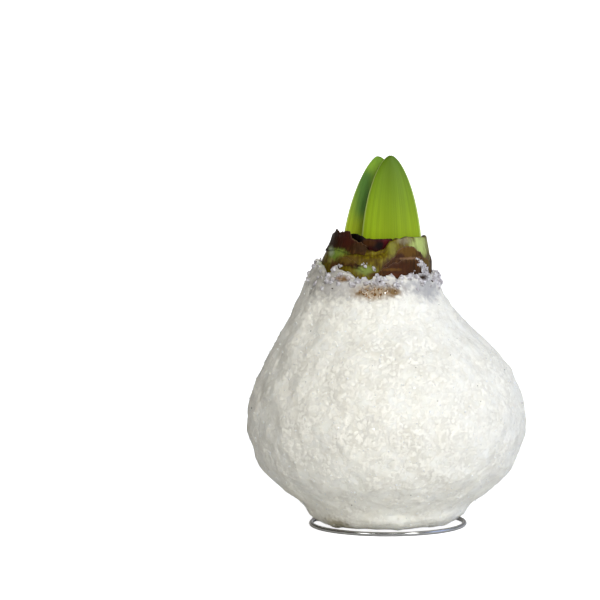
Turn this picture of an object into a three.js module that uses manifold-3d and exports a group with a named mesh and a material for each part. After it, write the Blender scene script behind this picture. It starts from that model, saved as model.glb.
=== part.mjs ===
// Waxed amaryllis bulb on a wire ring.
//
// The bulb is dipped in white wax and rolled in snow-like wax grains, so it needs no pot and no
// water. Its neck stands out of the coat with the stumps of the old scales round it, and a pair
// of young leaves comes up inside them. A wire, bent to a ring with a spike in the middle, is
// pushed into the base plate and keeps the bulb upright.
//
// Millimetres, +Z up. The origin is on the ground, under the middle of the bulb. The front is -Y.

import * as THREE from "three";
import { ImprovedNoise } from "three/addons/math/ImprovedNoise.js";
import { mergeVertices } from "three/addons/utils/BufferGeometryUtils.js";
import Module from "manifold-3d";

const wasm = await Module();
wasm.setup();

const DEG = Math.PI / 180;
const perlin = new ImprovedNoise();
const { lerp, smoothstep } = THREE.MathUtils;

// ---------------------------------------------------------------- driving dimensions
const CLEARANCE = 0.3; // between pieces that touch
const ROUND_CLEARANCE = 0.4; // where one round piece is inside another, so that facets stay clear
const WIRE_DIAMETER = 1.6;
const RING_RADIUS = 27.75; // to the middle of the wire
const COAT_RADIUS = 50; // the coat's widest, a third of the way up
const COAT_WALL = 5; // wax and grains over the bulb's widest
const COAT_LIP_Z = 91.4; // where the wax stops on the neck, at its lowest
const RIM_Z = 105.3; // top of the outer fleshy scale
const RIM_RADIUS = 16.6;
const LEAF_TIP_Z = 134;
const LEAF_WIDTH = 22.4;

// ---------------------------------------------------------------- outlines, [radius, height]
const PLATE_Z = 6.6; // underside of the base plate
const PLATE_RADIUS = 20;
const BORE_RADIUS = WIRE_DIAMETER / 2 + ROUND_CLEARANCE;
const SPIKE_TOP_Z = 22;
const BELLY_RADIUS = COAT_RADIUS - COAT_WALL;

// The side of the bulb, from the base plate up to the rim of the neck.
const BULB_SIDE = [
  [PLATE_RADIUS, PLATE_Z],
  [27, 9],
  [36, 16],
  [42.6, 25.5],
  [BELLY_RADIUS, 37.5],
  [42.8, 49.5],
  [37.6, 59],
  [31.4, 68],
  [26.2, 76],
  [22.9, 84],
  [21, 89.5],
  [20, 93.5],
  [19.1, 97.5],
  [17.7, 101.4],
  [RIM_RADIUS, RIM_Z],
];

// The outside of the coat, from the edge of its foot up to its lip. It stays clear of the ring.
const SEAT_Z = WIRE_DIAMETER + CLEARANCE + 0.05; // the flat of the foot lies on the crank
const FOOT_RADIUS = 25.6;
const FOOT_Z = SEAT_Z + 0.6;
const COAT_SIDE = [
  [FOOT_RADIUS, FOOT_Z],
  [28.4, 5],
  [31.4, 9],
  [38.4, 14.6],
  [44.9, 20.8],
  [48.7, 29.2],
  [COAT_RADIUS, 38.3],
  [48.9, 47.4],
  [45.2, 56],
  [39.4, 65],
  [32.4, 73.4],
  [27.4, 81.4],
  [24.6, 87.6],
  [22.8, COAT_LIP_Z],
];

// How far the ragged lip climbs the neck, [angle in degrees, rise].
const LIP_RISE = [
  [-180, 4.8],
  [-160, 4.2],
  [-146, 2.6],
  [-139, 2.2],
  [-131, 4.6],
  [-122, 2.9],
  [-111, 1.5],
  [-104, -0.4],
  [-95, -0.6],
  [-88, 0.7],
  [-79, 0.5],
  [-66, 0],
  [-52, 0.5],
  [-26, 0],
  [0, -0.2],
  [60, 2.4],
  [118, 1],
  [180, 4.8],
];
const LIP_FADE = 10; // below the lip, where its rise starts
const LIP_TAPER = 0.25; // how much narrower the neck gets with each millimetre up
const LIP_THINNING = 0.25; // how much the wax thins with each millimetre that it climbs

// The bulb's own axis leaves the Z axis: the shoulder sags to the left, and the neck comes part
// of the way back.
const SAG = { x: -5, fromZ: 55, toZ: 83 };
const RETURN = { x: 2.7, fromZ: 86, toZ: 107 };

// ---------------------------------------------------------------- shared helpers

// Evenly spaced points on a smooth curve through the outline's points.
function smooth(outline, count) {
  const curve = new THREE.SplineCurve(outline.map(([r, z]) => new THREE.Vector2(r, z)));
  return curve.getSpacedPoints(count).map((p) => [p.x, p.y]);
}

// The outline moved outwards, square to itself.
function offset(outline, distance) {
  return outline.map(([r, z], i) => {
    const [r0, z0] = outline[Math.max(i - 1, 0)];
    const [r1, z1] = outline[Math.min(i + 1, outline.length - 1)];
    const scale = distance / Math.hypot(r1 - r0, z1 - z0);
    return [r + (z1 - z0) * scale, z - (r1 - r0) * scale];
  });
}

// The bulb's radius at a height. Above the rim it stays that of the rim.
const fineSide = smooth(BULB_SIDE, 96);

function sideRadius(z) {
  const i = fineSide.findIndex(([, height]) => height >= z);
  if (i < 1) return RIM_RADIUS;
  const [r0, z0] = fineSide[i - 1];
  const [r1, z1] = fineSide[i];
  return lerp(r0, r1, (z - z0) / (z1 - z0));
}

// The height at an angle of an edge given as [angle in degrees, height] points.
function edgeAt(edge, degrees) {
  const next = edge.findIndex(([angle]) => angle >= degrees);
  const i = next < 0 ? edge.length - 1 : Math.max(next, 1);
  const [a0, h0] = edge[i - 1];
  const [a1, h1] = edge[i];
  return lerp(h0, h1, smoothstep(degrees, a0, a1));
}

// The height of the coat's lip at an angle in degrees, which may be past 180.
function lipAt(degrees) {
  return COAT_LIP_Z + edgeAt(LIP_RISE, degrees > 180 ? degrees - 360 : degrees);
}

// How far the bulb's own axis is from the Z axis, along X.
function lean(z) {
  return [SAG, RETURN].reduce((x, bend) => x + bend.x * smoothstep(z, bend.fromZ, bend.toZ), 0);
}

// A point at an angle round the bulb's leaning axis. 0 is the right, and -90 degrees the front.
function aroundAxis(angle, radius, z) {
  return new THREE.Vector3(lean(z) + radius * Math.cos(angle), radius * Math.sin(angle), z);
}

// Turns a profile round the Z axis. shape(point, normal, index) then moves each vertex, where
// index is that of its profile point, and every vertex ends up round the leaning axis.
function turned(profile, sides, shape) {
  const geometry = new THREE.LatheGeometry(
    profile.map(([r, z]) => new THREE.Vector2(r, z)),
    sides,
  ).rotateX(90 * DEG);
  const { position, normal } = geometry.attributes;
  const point = new THREE.Vector3();
  const direction = new THREE.Vector3();
  for (let i = 0; i < position.count; i++) {
    point.fromBufferAttribute(position, i);
    direction.fromBufferAttribute(normal, i);
    shape(point, direction, i % profile.length);
    position.setXYZ(i, point.x + lean(point.z), point.y, point.z);
  }
  return geometry;
}

// A thin closed body between two faces that share a grid. face(u, v, side) gives the point at
// u and v, from 0 to 1, on the inner side, 0, or on the outer side, 1.
function sheet(columns, rows, face) {
  const points = [];
  for (const side of [0, 1])
    for (let j = 0; j <= rows; j++)
      for (let i = 0; i <= columns; i++) points.push(face(i / columns, j / rows, side));
  const at = (i, j, side) => (side * (rows + 1) + j) * (columns + 1) + i;
  const index = [];
  const quad = (a, b, c, d) => index.push(a, b, c, a, c, d);
  for (let j = 0; j < rows; j++)
    for (let i = 0; i < columns; i++) {
      quad(at(i, j, 1), at(i + 1, j, 1), at(i + 1, j + 1, 1), at(i, j + 1, 1));
      index.push(at(i, j, 0), at(i + 1, j + 1, 0), at(i + 1, j, 0));
      index.push(at(i, j, 0), at(i, j + 1, 0), at(i + 1, j + 1, 0));
    }
  for (let i = 0; i < columns; i++) {
    quad(at(i, 0, 0), at(i + 1, 0, 0), at(i + 1, 0, 1), at(i, 0, 1));
    quad(at(i, rows, 1), at(i + 1, rows, 1), at(i + 1, rows, 0), at(i, rows, 0));
  }
  for (let j = 0; j < rows; j++) {
    quad(at(0, j, 0), at(0, j, 1), at(0, j + 1, 1), at(0, j + 1, 0));
    quad(at(columns, j, 1), at(columns, j, 0), at(columns, j + 1, 0), at(columns, j + 1, 1));
  }
  return new THREE.BufferGeometry().setFromPoints(points).setIndex(index);
}

// A closed geometry as a manifold-3d solid, and back.
function toSolid(geometry) {
  const bare = geometry.clone();
  bare.deleteAttribute("normal");
  bare.deleteAttribute("uv");
  const merged = mergeVertices(bare, 1e-3);
  return new wasm.Manifold(
    new wasm.Mesh({
      numProp: 3,
      vertProperties: merged.attributes.position.array,
      triVerts: new Uint32Array(merged.index.array),
    }),
  );
}

function toGeometry(solid) {
  const mesh = solid.getMesh();
  return new THREE.BufferGeometry()
    .setAttribute("position", new THREE.BufferAttribute(mesh.vertProperties, 3))
    .setIndex(new THREE.BufferAttribute(mesh.triVerts, 1));
}

function piece(name, geometry, material) {
  const mesh = new THREE.Mesh(geometry, material);
  mesh.name = name;
  return mesh;
}

// ---------------------------------------------------------------- wire stand
// One length of bright steel wire: nearly a full turn on the ground, a crank in to the middle,
// and a spike up into the base plate. Its section has eight sides, with a flat underneath.
const RING_X = 0.5;
const RING_START = 52 * DEG;
const RING_TURN = 344 * DEG;
const CRANK_BEND = 6;
const SPIKE_BEND = 3;
const WIRE_SIDES = 8;
const WIRE_STEPS = 84;

class RingArc extends THREE.Curve {
  getPoint(t) {
    const angle = RING_START - t * RING_TURN;
    return new THREE.Vector3(
      RING_X + RING_RADIUS * Math.cos(angle),
      RING_RADIUS * Math.sin(angle),
      WIRE_DIAMETER / 2,
    );
  }
}

// The point at a distance from one point towards another.
function towards(from, to, distance) {
  return from.clone().addScaledVector(to.clone().sub(from).normalize(), distance);
}

function wirePath() {
  const ring = new RingArc();
  const ringEnd = ring.getPoint(1);
  const corner = ringEnd.clone().addScaledVector(ring.getTangent(1), CRANK_BEND);
  const middle = new THREE.Vector3(0, 0, WIRE_DIAMETER / 2);
  const spikeTop = new THREE.Vector3(0, 0, SPIKE_TOP_Z);
  const crankOut = towards(corner, middle, CRANK_BEND);
  const crankIn = towards(middle, corner, SPIKE_BEND);
  const spikeFoot = towards(middle, spikeTop, SPIKE_BEND);

  const path = new THREE.CurvePath();
  path.add(ring);
  path.add(new THREE.QuadraticBezierCurve3(ringEnd, corner, crankOut));
  path.add(new THREE.LineCurve3(crankOut, crankIn));
  path.add(new THREE.QuadraticBezierCurve3(crankIn, middle, spikeFoot));
  path.add(new THREE.LineCurve3(spikeFoot, spikeTop));
  return path;
}

function wireStand() {
  const reach = WIRE_DIAMETER / 2 / Math.cos((180 * DEG) / WIRE_SIDES);
  const corners = Array.from({ length: WIRE_SIDES }, (_, i) => {
    const turn = ((i + 0.5) / WIRE_SIDES) * 360 * DEG;
    return new THREE.Vector2(reach * Math.cos(turn), reach * Math.sin(turn));
  });
  return new THREE.ExtrudeGeometry(new THREE.Shape(corners), {
    steps: WIRE_STEPS,
    extrudePath: wirePath(),
  });
}

// ---------------------------------------------------------------- bulb
// The fleshy bulb, whole inside the coat. Its neck ends in the cut rim of the outer scale, which
// is torn down at the front. Inside it are a groove and the stumps of the inner scales, which
// were cut off lower down in rings.
const BULB_SIDES = 42;
const BULB_RINGS = 14;
const RIM_WALL = 1.6;
const RIM_RAGGED = 0.7;
const RIM_TEARS = 3; // noise waves in the rim's radius
const RIM_DIP = [
  [-180, 0],
  [-128, 0],
  [-116, 1.8],
  [-103, 4.2],
  [-92, 4.7],
  [-84, 4.2],
  [-76, 1],
  [-70, 0],
  [0, 0.3],
  [25, 2.4],
  [80, 2],
  [130, 0.5],
  [180, 0],
]; // [angle in degrees, drop]
const GROOVE_Z = 97.5;
const GROOVE_FLARE = 0.2; // the groove's walls lean this far, so that it widens upwards
const STUMP_RADIUS = 11.6;
const STUMP_Z = 101.5;
const STUMP_STEP = 1.3; // from one scale's cut edge to the next, in and down

// How far the rim is below RIM_Z at an angle.
function rimDrop(angle) {
  const tear = perlin.noise(RIM_TEARS * Math.cos(angle), RIM_TEARS * Math.sin(angle), 0.5);
  return edgeAt(RIM_DIP, angle / DEG) + RIM_RAGGED * tear;
}

function bulbBody() {
  const inner = RIM_RADIUS - RIM_WALL;
  const profile = [
    [0, SPIKE_TOP_Z + CLEARANCE],
    [BORE_RADIUS, SPIKE_TOP_Z + CLEARANCE],
    [BORE_RADIUS, PLATE_Z],
    ...smooth(BULB_SIDE, BULB_RINGS),
    [inner, RIM_Z],
    [inner - GROOVE_FLARE, GROOVE_Z],
    [STUMP_RADIUS, GROOVE_Z],
    [STUMP_RADIUS - GROOVE_FLARE, STUMP_Z],
    [STUMP_RADIUS - STUMP_STEP, STUMP_Z],
    [STUMP_RADIUS - STUMP_STEP, STUMP_Z - STUMP_STEP],
    [STUMP_RADIUS - 3 * STUMP_STEP, STUMP_Z - STUMP_STEP],
    [STUMP_RADIUS - 3 * STUMP_STEP, STUMP_Z],
    [0, STUMP_Z + STUMP_STEP / 2],
  ];
  return turned(profile, BULB_SIDES, (point) => {
    if (Math.hypot(point.x, point.y) < inner - GROOVE_FLARE / 2) return;
    point.z -= smoothstep(point.z, GROOVE_Z, RIM_Z) * rimDrop(Math.atan2(point.y, point.x));
  });
}

// ---------------------------------------------------------------- leaves
// Two young strap leaves with blunt tips, face to face, the front one to the right. Each stands
// in a slot of its own in the neck, and the slot is the leaf's own form with clearance.
const LEAF_FOOT_Z = 90;
const LEAF_TAPER = 40; // the length over which the outline rounds in to the tip
const LEAF_THICK = 2.3; // at the midrib
const LEAF_EDGE = 1.1;
const LEAF_LAST_ROW = 0.1; // how far under the tip's height the last row of the leaf is
const LEAVES = [
  { name: "leaf_front", x: 1.9, y: -4, bow: -3, tipX: 1.5, tipY: -1.5, tipZ: LEAF_TIP_Z },
  { name: "leaf_back", x: -5.6, y: 2.8, bow: 3, tipX: -3.4, tipY: 0.9, tipZ: LEAF_TIP_Z - 0.5 },
];

// A leaf, fattened by grow on every side.
function leafBody(leaf, grow) {
  const length = leaf.tipZ - LEAF_FOOT_Z;
  return sheet(10, 14, (u, v, side) => {
    const across = 2 * u - 1;
    const fromTip = length * (1 - v) ** 2 + LEAF_LAST_ROW; // rows crowd towards the tip
    const up = 1 - fromTip / length;
    const rounding = 1 - (1 - Math.min(fromTip / LEAF_TAPER, 1)) ** 2;
    const half = (LEAF_WIDTH / 2) * rounding ** 0.6 + grow;
    const thick = lerp(LEAF_THICK, LEAF_EDGE, across ** 2) * lerp(1, 0.6, up ** 2) + 2 * grow;
    const bulge = leaf.bow * (1 - across ** 2) * lerp(1, 0.4, up ** 2);
    return new THREE.Vector3(
      lerp(leaf.x, leaf.tipX, up) + across * half,
      lerp(leaf.y, leaf.tipY, up ** 2) + bulge + (0.5 - side) * thick,
      leaf.tipZ - fromTip - grow * (1 - 2 * v),
    );
  });
}

// ---------------------------------------------------------------- wax coat
// A dipped shell with a crust of grains: its outside is raised in lumps and grains by a formula,
// and its inside follows the bulb. It is open at the neck and round the spike.
const COAT_SIDES = 84;
const COAT_RINGS = 34;
const LUMP_SIZE = 9;
const LUMP_HEIGHT = 1.2;
const GRAIN_SIZE = 2.3;
const GRAIN_HEIGHT = 1;
const CALM_FOOT = 0.25; // share of the crust at the foot, which stays clear of the ring
const CALM_FOOT_HEIGHT = 6;
const CALM_LIP = 0.35; // and at the lip, which is thin
const CALM_LIP_HEIGHT = 4;
const WAX_HOLE_RADIUS = 3; // round the bend of the spike, under the base plate
const LIP_BAND = 3.3; // height of the last ring of the inside, under the lip

// Height of the crust over the smooth outside at a point.
function crust(p) {
  const lump = perlin.noise(p.x / LUMP_SIZE, p.y / LUMP_SIZE, p.z / LUMP_SIZE);
  const grain = perlin.noise(p.x / GRAIN_SIZE, p.y / GRAIN_SIZE, p.z / GRAIN_SIZE + 7.3);
  const foot = lerp(CALM_FOOT, 1, smoothstep(p.z, FOOT_Z, FOOT_Z + CALM_FOOT_HEIGHT));
  const lip = lerp(1, CALM_LIP, smoothstep(p.z, COAT_LIP_Z - CALM_LIP_HEIGHT, COAT_LIP_Z));
  return (LUMP_HEIGHT * lump + GRAIN_HEIGHT * grain) * foot * lip;
}

function waxCoat() {
  const bulbSide = smooth(BULB_SIDE, BULB_RINGS).filter(([, z]) => z < COAT_LIP_Z - LIP_BAND);
  bulbSide.push([sideRadius(COAT_LIP_Z), COAT_LIP_Z]);
  const inside = offset(bulbSide, ROUND_CLEARANCE);
  const outside = smooth(COAT_SIDE, COAT_RINGS);
  const foot = [
    [WAX_HOLE_RADIUS, SEAT_Z],
    [FOOT_RADIUS * 0.5, SEAT_Z],
    [FOOT_RADIUS * 0.9, SEAT_Z],
  ];
  const plateTop = [WAX_HOLE_RADIUS, PLATE_Z - CLEARANCE];
  const profile = [plateTop, ...foot, ...outside, ...inside.reverse(), plateTop];
  const firstOutside = 1 + foot.length;
  const lastOutside = firstOutside + outside.length - 1;
  return turned(profile, COAT_SIDES, (point, normal, index) => {
    const isOutside = index >= firstOutside && index <= lastOutside;
    if (isOutside) point.addScaledVector(normal, crust(point));
    const degrees = Math.atan2(point.y, point.x) / DEG;
    const rise = edgeAt(LIP_RISE, degrees) * smoothstep(point.z, COAT_LIP_Z - LIP_FADE, COAT_LIP_Z);
    const taper = LIP_TAPER + (isOutside ? LIP_THINNING : 0);
    const shrink = 1 - (rise * taper) / Math.hypot(point.x, point.y);
    point.set(point.x * shrink, point.y * shrink, point.z + rise);
  });
}

// ---------------------------------------------------------------- scales of the neck
// Dry, papery scales lie on the outside of the neck, torn at both ends, down to the lip of the
// wax at the most. In the groove stand the dried tips of two younger scales.
const SCALE_THICK = 0.7;
const SCALE_OVER_LIP = 0.8; // the least from the lip up to a scale's foot
const GROOVE_SCALE_RADIUS = 13;
const GROOVE_SCALE_FOOT_Z = GROOVE_Z + CLEARANCE;
const TEAR_HEIGHT = 0.5;
const TEAR_WIDTH = 5; // degrees
const RIPPLES = 13; // round the whole neck

// Each has its top and bottom edges, its grid, and the height of its ripples.
const OUTER_SCALES = [
  {
    name: "dry_scale_left",
    top: [
      [148, 104.5],
      [166, 105.4],
      [182, 105.6],
      [196, 106.4],
      [205, 107.8],
      [214, 107],
      [222, 107.4],
      [231, 107.6],
      [236, 104.6],
      [246, 103.8],
      [256, 102.6],
    ],
    bottom: [[148, 98.4], [196, 100.2], [206, 100.6], [221, 100.6], [238, 99.6], [256, 99.4]],
    grid: [26, 4],
    wave: 0.15,
  },
  {
    name: "dry_scale_right",
    top: [
      [-84, 94.5],
      [-80, 96.4],
      [-72, 98.6],
      [-67, 101.2],
      [-60, 102.4],
      [-50, 102.2],
      [-38, 100.2],
      [-28, 97.8],
      [-18, 96.6],
      [-8, 96.4],
      [8, 97.6],
      [30, 97],
    ],
    bottom: [[-84, COAT_LIP_Z], [30, COAT_LIP_Z]],
    grid: [26, 4],
    wave: 0.15,
  },
  {
    name: "dry_scale_back",
    top: [[38, 100], [56, 102.6], [78, 104], [98, 103], [118, 105], [142, 103]],
    bottom: [[38, COAT_LIP_Z], [142, COAT_LIP_Z]],
    grid: [20, 4],
    wave: 0.2,
  },
];

const GROOVE_SCALES = [
  {
    name: "inner_scale_front",
    top: [[-146, 103.4], [-140, 106.4], [-128, 106.4], [-111, 104.9], [-74, 104.9], [-60, 103]],
    bottom: [[-146, GROOVE_SCALE_FOOT_Z], [-60, GROOVE_SCALE_FOOT_Z]],
    grid: [16, 3],
    wave: 0.15,
  },
  {
    name: "inner_scale_back",
    top: [[48, 101.4], [70, 104], [96, 103.2], [120, 104.4], [136, 101.8]],
    bottom: [[48, GROOVE_SCALE_FOOT_Z], [136, GROOVE_SCALE_FOOT_Z]],
    grid: [14, 3],
    wave: 0.15,
  },
];

// radiusAt(z) is the radius of the scale's inside.
function scaleBody({ top, bottom, grid, wave }, radiusAt) {
  const from = top[0][0];
  const to = top[top.length - 1][0];
  return sheet(grid[0], grid[1], (u, v, side) => {
    const degrees = lerp(from, to, u);
    const angle = degrees * DEG;
    const torn = TEAR_HEIGHT * perlin.noise(degrees / TEAR_WIDTH, 0.5, 0.5);
    const low = Math.max(edgeAt(bottom, degrees), lipAt(degrees) + SCALE_OVER_LIP);
    const z = lerp(low, edgeAt(top, degrees) + torn, v);
    const ripple = wave * (1 + Math.sin(RIPPLES * angle)) * v;
    return aroundAxis(angle, radiusAt(z) + ripple + side * SCALE_THICK, z);
  });
}

// ---------------------------------------------------------------- materials
function material(color, roughness, metalness) {
  return new THREE.MeshStandardMaterial({ color, roughness, metalness });
}

const steel = material("#a9aaad", 0.2, 1);
const flesh = material("#8f9a45", 0.45, 0);
const wax = material("#eceae4", 0.55, 0);
const dryScale = material("#5a3720", 0.6, 0);
const redScale = material("#4a1712", 0.5, 0);
const leafGreen = material("#86a52c", 0.4, 0);

// ---------------------------------------------------------------- assembly
const group = new THREE.Group();

group.add(piece("wire_stand", wireStand(), steel));

let bulb = toSolid(bulbBody());
for (const leaf of LEAVES) {
  bulb = bulb.subtract(toSolid(leafBody(leaf, CLEARANCE)));
  group.add(piece(leaf.name, leafBody(leaf, 0), leafGreen));
}
group.add(piece("bulb", toGeometry(bulb), flesh));

group.add(piece("wax_coat", waxCoat(), wax));

for (const scale of OUTER_SCALES) {
  const body = scaleBody(scale, (z) => sideRadius(z) + CLEARANCE);
  group.add(piece(scale.name, body, dryScale));
}

for (const scale of GROOVE_SCALES) {
  const body = scaleBody(scale, () => GROOVE_SCALE_RADIUS);
  group.add(piece(scale.name, body, redScale));
}

export default group;
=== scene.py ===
"""Looks of a waxed amaryllis bulb on its wire ring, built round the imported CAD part.

The bulb is dipped in white wax and rolled in snow-like grains. Its neck stands out of the coat,
with torn papery scales round it and two blunt young leaves in the middle.
"""

import math

import bpy
import numpy as np
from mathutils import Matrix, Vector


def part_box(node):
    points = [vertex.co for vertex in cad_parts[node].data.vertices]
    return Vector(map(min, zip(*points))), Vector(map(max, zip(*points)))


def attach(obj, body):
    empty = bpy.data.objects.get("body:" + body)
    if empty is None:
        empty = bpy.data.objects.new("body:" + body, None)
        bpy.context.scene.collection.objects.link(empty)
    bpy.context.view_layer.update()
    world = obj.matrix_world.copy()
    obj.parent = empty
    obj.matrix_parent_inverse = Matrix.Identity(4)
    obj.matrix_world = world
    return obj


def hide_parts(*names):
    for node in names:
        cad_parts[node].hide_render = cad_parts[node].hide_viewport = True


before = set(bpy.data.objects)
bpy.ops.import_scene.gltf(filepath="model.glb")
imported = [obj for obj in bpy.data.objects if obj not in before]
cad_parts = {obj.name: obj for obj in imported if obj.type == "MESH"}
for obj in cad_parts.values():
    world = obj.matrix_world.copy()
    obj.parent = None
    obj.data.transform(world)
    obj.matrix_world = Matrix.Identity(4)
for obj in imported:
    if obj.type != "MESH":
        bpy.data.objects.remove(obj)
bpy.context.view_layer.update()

MM = 0.001  # sizes and places below are in millimetres, and Blender's unit is the metre


# ---------------- camera
# A long lens a little above table height, aimed left of the bulb, which so stands to the right
# of the middle of a square frame.
CAMERA_DISTANCE = 1400
CAMERA_PITCH = 5.4  # degrees down
AIM_Z = 81.7
FIELD_WIDTH = 216  # what the frame takes in at the bulb
SENSOR_WIDTH = 36
FRAME_PIXELS = 600
AXIS_PIXEL = 386.5  # column of the frame that the bulb's axis is on


def add_object(name, data):
    made = bpy.data.objects.new(name, data)
    bpy.context.scene.collection.objects.link(made)
    return made


camera = add_object("camera", bpy.data.cameras.new("camera"))
pitch = math.radians(CAMERA_PITCH)
camera.location = (
    0,
    -CAMERA_DISTANCE * math.cos(pitch) * MM,
    (AIM_Z + CAMERA_DISTANCE * math.sin(pitch)) * MM,
)
camera.rotation_euler = (math.pi / 2 - pitch, 0, 0)
camera.data.sensor_width = SENSOR_WIDTH
camera.data.lens = SENSOR_WIDTH * CAMERA_DISTANCE / FIELD_WIDTH
camera.data.shift_x = (FRAME_PIXELS / 2 - AXIS_PIXEL) / FRAME_PIXELS
bpy.context.scene.camera = camera
bpy.context.scene.view_settings.view_transform = "Standard"


# ---------------- floor and light
# A wide pale floor that shows as pure white, under a pale studio that is brighter on the right.
# One large soft key light hangs up on that side and a cool window is far round to it. Two small
# lamp heads show only in bright metal and gloss, where a dark card over the camera frames them.
FLOOR_WIDTH = 60000
FLOOR_WHITE = "#e6e6e6"
FLOOR_GLOW = 0.92  # seen by the eye alone, so that it doesn't light the bulb from below
STUDIO_LEFT = 0.02
STUDIO_RIGHT = 0.57
STUDIO_HORIZON = 0.93  # low down the studio is as white as the floor
HORIZON_TOP = 0.10  # sine of the height angle where that white ends
STUDIO_COLOUR = ("#fff4e0", "#e8f0ff")  # left and right
CARD_EDGE = (-0.45, -0.25)  # Y of the directions where the card begins to fade out, and is gone
CARD_LOW = (0.15, 0.2)  # Z of the directions where its lower edge begins, and where it is full
CARD_SHADE = 0.12
LAMPS = {
    "key": {"side": 15, "height": 27, "spread": 50, "power": 2.28, "colour": "#ffffff"},
    "window": {"side": 84, "height": 20, "spread": 40, "power": 0.46, "colour": "#b0c6ff"},
    "left_head": {"side": -37, "height": 26, "spread": 14, "power": 0.5, "colour": "#ffffff"},
    "right_head": {"side": 37, "height": 28, "spread": 19, "power": 1, "colour": "#ffffff"},
}  # degrees to the right of the camera, up and across
GLINTS = [(900, -900, 1300), (200, -1300, 900), (-500, -1100, 1400)]
GLINT_WIDTH = 120
GLINT_POWER = 5


def linear(code):
    """An sRGB hex colour as linear red, green, blue and alpha."""
    parts = [int(code[i : i + 2], 16) / 255 for i in (1, 3, 5)]
    return [c / 12.92 if c <= 0.04045 else ((c + 0.055) / 1.055) ** 2.4 for c in parts] + [1]


def set_inputs(tree, node, inputs):
    """Gives a node's sockets, by name or number, a value, a hex colour or another node's output. A
    node stands for the first of its outputs that is in use."""
    for socket, value in inputs.items():
        if isinstance(value, bpy.types.Node):
            value = next(output for output in value.outputs if output.enabled)
        if isinstance(value, bpy.types.NodeSocket):
            tree.links.new(value, node.inputs[socket])
        else:
            node.inputs[socket].default_value = linear(value) if isinstance(value, str) else value


SMOOTH = {"interpolation_type": "SMOOTHSTEP"}  # for a Map Range node with soft ends


def add_node(tree, kind, inputs=None, stops=(), **settings):
    """Adds a node with its settings and inputs. A kind without the word Node is a shader node, and
    stops are the places and hex colours of a ramp."""
    node = tree.nodes.new(kind if "Node" in kind else "ShaderNode" + kind)
    for name, value in settings.items():
        setattr(node, name, value)
    set_inputs(tree, node, inputs or {})
    for _ in stops[2:]:
        node.color_ramp.elements.new(0.5)
    for number, (position, code) in enumerate(stops):
        node.color_ramp.elements[number].position = position
        node.color_ramp.elements[number].color = linear(code)
    return node


def start_material(name):
    """A new material, its node tree, its Principled shader and its Object coordinates."""
    material = bpy.data.materials.new(name)
    material.use_nodes = True
    tree = material.node_tree
    place = add_node(tree, "TexCoord").outputs["Object"]
    return material, tree, tree.nodes["Principled BSDF"], place


def add_mesh(name, points, faces, material):
    """A mesh object from points in millimetres, with its faces turned outwards."""
    points = np.asarray(points, float).reshape(-1, 3)
    fan = np.array([(f[0], f[i], f[i + 1]) for f in faces for i in range(1, len(f) - 1)])
    corners = points[fan]
    volume = np.einsum("ij,ij->", corners[:, 0], np.cross(corners[:, 1], corners[:, 2]))
    if volume < 0:
        faces = [face[::-1] for face in faces]
    mesh = bpy.data.meshes.new(name)
    mesh.from_pydata((points * MM).tolist(), [], faces)
    mesh.polygons.foreach_set("use_smooth", [True] * len(faces))
    mesh.materials.append(material)
    mesh.validate()
    return add_object(name, mesh)


floor_paint, tree, shader, place = start_material("matt white floor")
seen = add_node(tree, "LightPath").outputs["Is Camera Ray"]
glow = add_node(tree, "Math", {0: seen, 1: FLOOR_GLOW}, operation="MULTIPLY")
finish = {"Base Color": FLOOR_WHITE, "Roughness": 0.9, "Specular IOR Level": 0.1}
set_inputs(tree, shader, finish | {"Emission Color": "#ffffff", "Emission Strength": glow})
half = FLOOR_WIDTH / 2
corners = [(-half, -half, 0), (half, -half, 0), (half, half, 0), (-half, half, 0)]
floor = add_mesh("floor", corners, [(0, 1, 2, 3)], floor_paint)

world = bpy.data.worlds.new("studio")
bpy.context.scene.world = world
world.use_nodes = True
tree = world.node_tree
direction = add_node(tree, "TexCoord").outputs["Generated"]
x, y, z = add_node(tree, "SeparateXYZ", {0: direction}).outputs
side = add_node(tree, "MapRange", {0: x, 1: -1, 2: 1, 3: STUDIO_LEFT, 4: STUDIO_RIGHT})
fade = {0: z, 1: HORIZON_TOP / 2, 2: HORIZON_TOP, 3: STUDIO_HORIZON, 4: side}
light = add_node(tree, "MapRange", fade, **SMOOTH)
in_front = add_node(tree, "MapRange", {0: y, 1: CARD_EDGE[0], 2: CARD_EDGE[1], 3: 1, 4: 0})
high_up = add_node(tree, "MapRange", {0: z, 1: CARD_LOW[0], 2: CARD_LOW[1]})
on_card = add_node(tree, "Math", {0: in_front, 1: high_up}, operation="MULTIPLY")
shade = add_node(tree, "MapRange", {0: on_card, 3: 1, 4: CARD_SHADE})
strength = add_node(tree, "Math", {0: light, 1: shade}, operation="MULTIPLY")
to_right = add_node(tree, "MapRange", {0: x, 1: -1, 2: 1})
left, right = STUDIO_COLOUR
hue = add_node(tree, "Mix", {0: to_right, 6: left, 7: right}, data_type="RGBA")
set_inputs(tree, tree.nodes["Background"], {"Strength": strength, "Color": hue})

for name, given in LAMPS.items():
    lamp = add_object(name, bpy.data.lights.new(name, "SUN"))
    lamp.data.energy = given["power"]
    lamp.data.color = linear(given["colour"])[:3]
    lamp.data.angle = math.radians(given["spread"])
    lamp.rotation_euler = (math.radians(90 - given["height"]), 0, math.radians(given["side"]))
    lamp.visible_glossy = name != "key"
    lamp.visible_diffuse = not name.endswith("head")

# Small bright lamps add a little light to the front, and make facets and flakes sparkle.
for glint_place in GLINTS:
    glint = add_object("glint", bpy.data.lights.new("glint", "POINT"))
    glint.data.energy = GLINT_POWER
    glint.data.shadow_soft_size = GLINT_WIDTH / 2 * MM
    glint.location = [c * MM for c in glint_place]


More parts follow.
